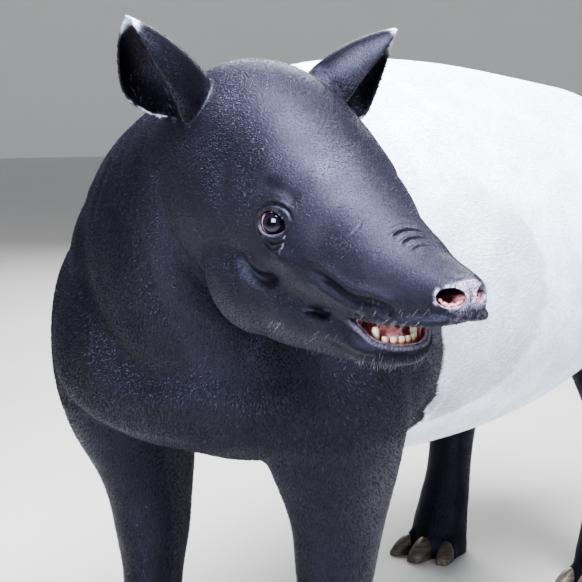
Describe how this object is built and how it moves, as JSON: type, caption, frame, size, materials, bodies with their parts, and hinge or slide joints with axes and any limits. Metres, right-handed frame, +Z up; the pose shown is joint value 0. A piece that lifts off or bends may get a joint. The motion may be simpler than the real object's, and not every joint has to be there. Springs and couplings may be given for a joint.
{
  "type": "tapir figure",
  "caption": "Life-size standing tapir with a black head, neck and legs, a white saddle and rump, and its head turned to its left with the mouth parted.",
  "frame": {"origin": "middle of the figure's bounding box at the level of the soles", "axes": "+X towards the chest, +Y towards the animal's left side, +Z up"},
  "size_m": [1.6081, 0.9401, 1.0741],
  "materials": {
    "black_coat": "short black hair over skin, with a blue-grey sheen",
    "white_coat": "short white hair, faintly blue-grey",
    "eye": "wet dark brown eyeball",
    "hoof": "dull dark horn",
    "mouth": "moist pink tongue",
    "tooth": "ivory enamel on a pink gum"
  },
  "bodies": {
    "root": {"ear_left": "black_coat", "ear_right": "black_coat", "eye_left": "eye", "eye_right": "eye", "foreleg_left": "black_coat", "foreleg_right": "black_coat", "head": "black_coat", "hindleg_left": "black_coat", "hindleg_right": "black_coat", "hoof_fore_inner_left": "hoof", "hoof_fore_inner_right": "hoof", "hoof_fore_middle_left": "hoof", "hoof_fore_middle_right": "hoof", "hoof_fore_outer_left": "hoof", "hoof_fore_outer_right": "hoof", "hoof_fore_side_left": "hoof", "hoof_fore_side_right": "hoof", "hoof_hind_inner_left": "hoof", "hoof_hind_inner_right": "hoof", "hoof_hind_middle_left": "hoof", "hoof_hind_middle_right": "hoof", "hoof_hind_outer_left": "hoof", "hoof_hind_outer_right": "hoof", "lower_jaw": "black_coat", "lower_teeth": "tooth", "neck": "black_coat", "shoulders": "black_coat", "tail": "white_coat", "tongue": "mouth", "trunk": "white_coat"}
  },
  "joints": []
}
